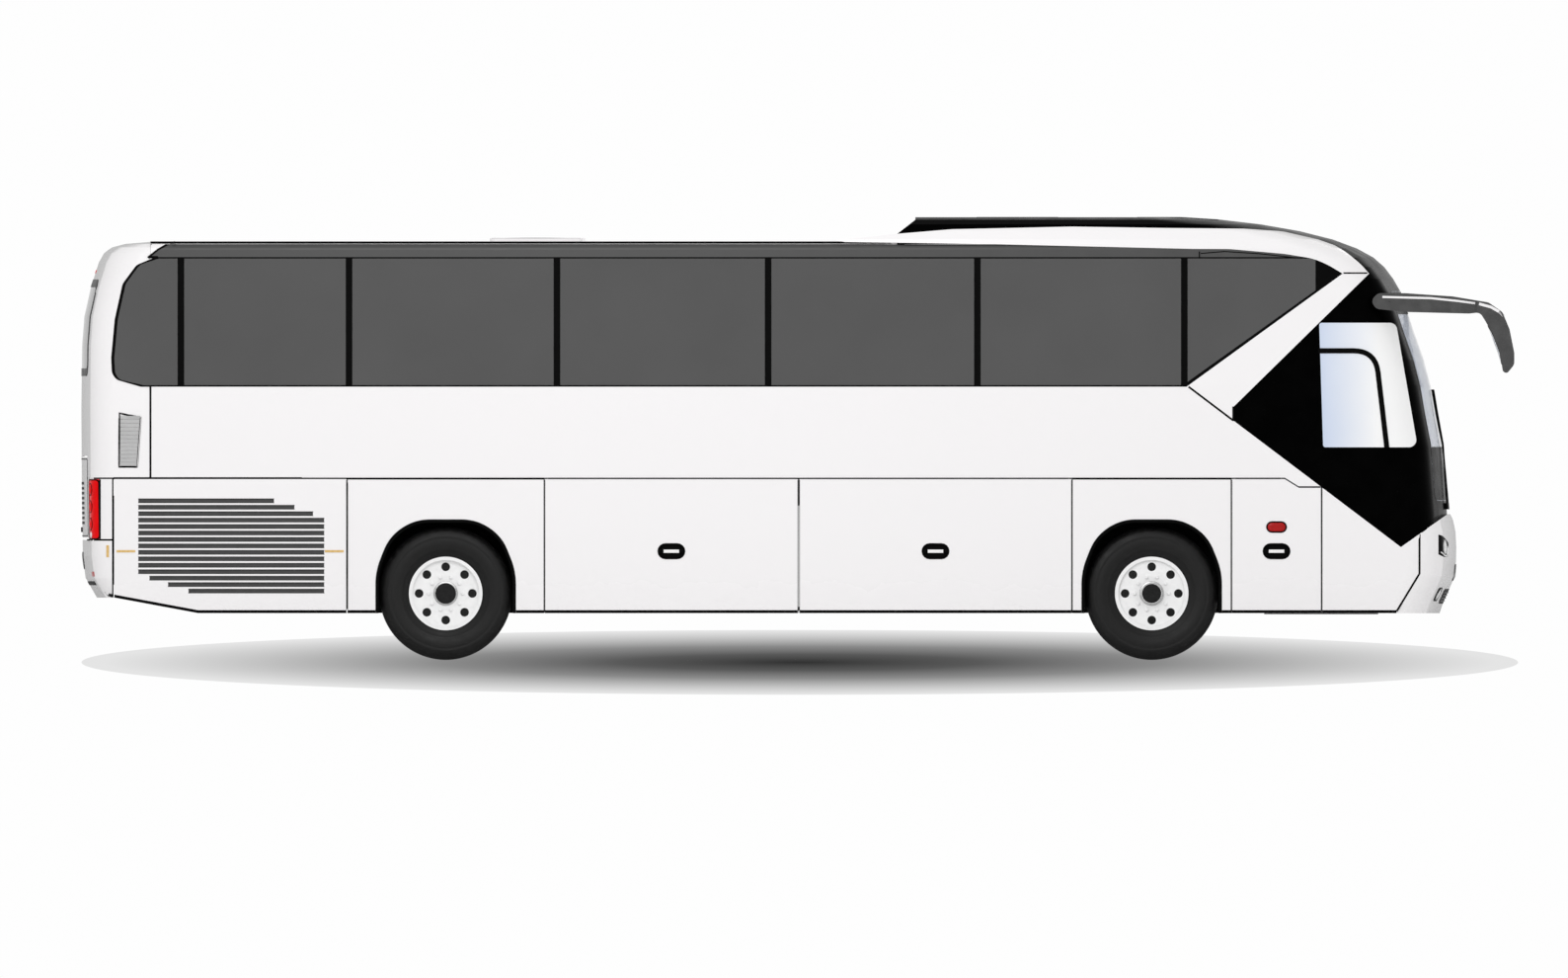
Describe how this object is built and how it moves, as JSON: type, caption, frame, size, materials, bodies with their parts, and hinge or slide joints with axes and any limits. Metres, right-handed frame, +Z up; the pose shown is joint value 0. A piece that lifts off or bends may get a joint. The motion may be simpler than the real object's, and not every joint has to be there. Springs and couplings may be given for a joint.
{
  "type": "coach bus",
  "caption": "Long-distance coach with a raised front roof housing, wrapped tail, flush side windows, luggage flaps, an arm-hung entrance door and front mirrors on forward arms.",
  "frame": {"origin": "on the ground, under the centre of the overall box, mirrors included", "axes": "+X towards the coach's front, +Y towards its left side, +Z up"},
  "size_m": [11.61, 2.8, 3.5848],
  "materials": {
    "alloy": "gloss",
    "black_gloss": "gloss",
    "black_trim": "satin",
    "clear_glass": "gloss",
    "clear_lens": "gloss",
    "dark_glass": "gloss",
    "floor": "matte",
    "frame": "satin",
    "grey_plastic": "matte",
    "grey_trim": "satin",
    "iron": "matte",
    "red_lens": "gloss",
    "rubber": "matte",
    "seat_cloth": "matte",
    "tyre": "matte",
    "white_paint": "gloss"
  },
  "bodies": {
    "body": {"air_springs": "rubber", "arch_panels": "white_paint", "cab_bands": "white_paint", "cab_glass": "clear_glass", "chassis_frame": "frame", "dashboard": "grey_plastic", "driver_seat": "seat_cloth", "engine": "iron", "entrance_steps": "frame", "floor_deck": "floor", "floor_posts": "frame", "front_axle": "iron", "front_bumper": "white_paint", "front_corners": "white_paint", "front_mask": "black_gloss", "headlamps": "clear_lens", "luggage_bay": "floor", "luggage_racks": "grey_plastic", "mirrors": "black_gloss", "passenger_seats": "seat_cloth", "rear_axle": "iron", "rear_bumper": "white_paint", "rear_cap": "white_paint", "rear_window": "dark_glass", "roof_cheeks": "white_paint", "roof_coves": "grey_trim", "roof_panel": "white_paint", "roof_pod": "black_gloss", "side_glass": "dark_glass", "steering_wheel": "black_trim", "tail_lamps": "red_lens", "waist_panels": "white_paint", "wheel_housings": "frame", "window_frames": "black_trim", "windscreen": "clear_glass", "wipers": "black_trim"},
    "knuckle_right": {"knuckle_right": "iron"},
    "front_wheel_right": {"front_tyre_right": "tyre", "front_rim_right": "alloy"},
    "rear_wheels_right": {"rear_tyres_right": "tyre", "rear_rims_right": "alloy"},
    "knuckle_left": {"knuckle_left": "iron"},
    "front_wheel_left": {"front_tyre_left": "tyre", "front_rim_left": "alloy"},
    "rear_wheels_left": {"rear_tyres_left": "tyre", "rear_rims_left": "alloy"},
    "luggage_flap_rear_right": {"luggage_flap_rear_right": "white_paint"},
    "luggage_flap_front_right": {"luggage_flap_front_right": "white_paint"},
    "engine_door_right": {"engine_door_right": "white_paint"},
    "luggage_flap_rear_left": {"luggage_flap_rear_left": "white_paint"},
    "luggage_flap_front_left": {"luggage_flap_front_left": "white_paint"},
    "engine_door_left": {"engine_door_left": "white_paint"},
    "service_flap": {"service_flap": "white_paint"},
    "engine_lid": {"engine_lid": "white_paint"},
    "roof_hatch": {"roof_hatch": "white_paint"},
    "door_arm": {"door_arm": "frame"},
    "entrance_door": {"entrance_door": "black_gloss", "door_glass": "dark_glass"}
  },
  "joints": [
    {"name": "steer_right", "type": "hinge", "parent": "body", "child": "knuckle_right", "pos_m": [2.867, -0.86, 0.538], "axis": [0, 0, 1], "range_deg": [-35, 35]},
    {"name": "front_spin_right", "type": "hinge", "parent": "knuckle_right", "child": "front_wheel_right", "pos_m": [2.867, -1.052, 0.538], "axis": [0, 1, 0], "continuous": true},
    {"name": "rear_spin_right", "type": "hinge", "parent": "body", "child": "rear_wheels_right", "pos_m": [-2.853, -1.062, 0.538], "axis": [0, 1, 0], "continuous": true},
    {"name": "steer_left", "type": "hinge", "parent": "body", "child": "knuckle_left", "pos_m": [2.867, 0.86, 0.538], "axis": [0, 0, 1], "range_deg": [-35, 35]},
    {"name": "front_spin_left", "type": "hinge", "parent": "knuckle_left", "child": "front_wheel_left", "pos_m": [2.867, 1.052, 0.538], "axis": [0, 1, 0], "continuous": true},
    {"name": "rear_spin_left", "type": "hinge", "parent": "body", "child": "rear_wheels_left", "pos_m": [-2.853, 1.062, 0.538], "axis": [0, 1, 0], "continuous": true},
    {"name": "luggage_flap_rear_right_hinge", "type": "hinge", "parent": "body", "child": "luggage_flap_rear_right", "pos_m": [-1.02452, -1.275, 1.47], "axis": [-1, 0, 0], "range_deg": [0, 88]},
    {"name": "luggage_flap_front_right_hinge", "type": "hinge", "parent": "body", "child": "luggage_flap_front_right", "pos_m": [1.11548, -1.275, 1.47], "axis": [-1, 0, 0], "range_deg": [0, 88]},
    {"name": "engine_door_right_hinge", "type": "hinge", "parent": "body", "child": "engine_door_right", "pos_m": [-3.65, -1.275, 0.9], "axis": [0, 0, 1], "range_deg": [0, 110]},
    {"name": "luggage_flap_rear_left_hinge", "type": "hinge", "parent": "body", "child": "luggage_flap_rear_left", "pos_m": [-1.02452, 1.275, 1.47], "axis": [1, 0, 0], "range_deg": [0, 88]},
    {"name": "luggage_flap_front_left_hinge", "type": "hinge", "parent": "body", "child": "luggage_flap_front_left", "pos_m": [1.11548, 1.275, 1.47], "axis": [1, 0, 0], "range_deg": [0, 88]},
    {"name": "engine_door_left_hinge", "type": "hinge", "parent": "body", "child": "engine_door_left", "pos_m": [-3.65, 1.275, 0.9], "axis": [0, 0, -1], "range_deg": [0, 110]},
    {"name": "service_flap_hinge", "type": "hinge", "parent": "body", "child": "service_flap", "pos_m": [3.878, -1.275, 1.47], "axis": [-1, 0, 0], "range_deg": [0, 88]},
    {"name": "engine_lid_hinge", "type": "hinge", "parent": "body", "child": "engine_lid", "pos_m": [-5.7995, 0, 1.646], "axis": [0, 1, 0], "range_deg": [0, 75]},
    {"name": "roof_hatch_hinge", "type": "hinge", "parent": "body", "child": "roof_hatch", "pos_m": [-1.74, 0, 3.414], "axis": [0, 1, 0], "range_deg": [0, 35]},
    {"name": "door_arm_swing", "type": "hinge", "parent": "body", "child": "door_arm", "pos_m": [4.62, 1.13, 1.14], "axis": [0, 0, -1], "range_deg": [0, 90]},
    {"name": "door_swing", "type": "hinge", "parent": "door_arm", "child": "entrance_door", "pos_m": [4.06, 1.13, 1.14], "axis": [0, 0, 1], "range_deg": [0, 90]}
  ],
  "couplings": [
    {"joint": "steer_left", "follows": "steer_right", "ratio": 1},
    {"joint": "door_swing", "follows": "door_arm_swing", "ratio": 1}
  ]
}
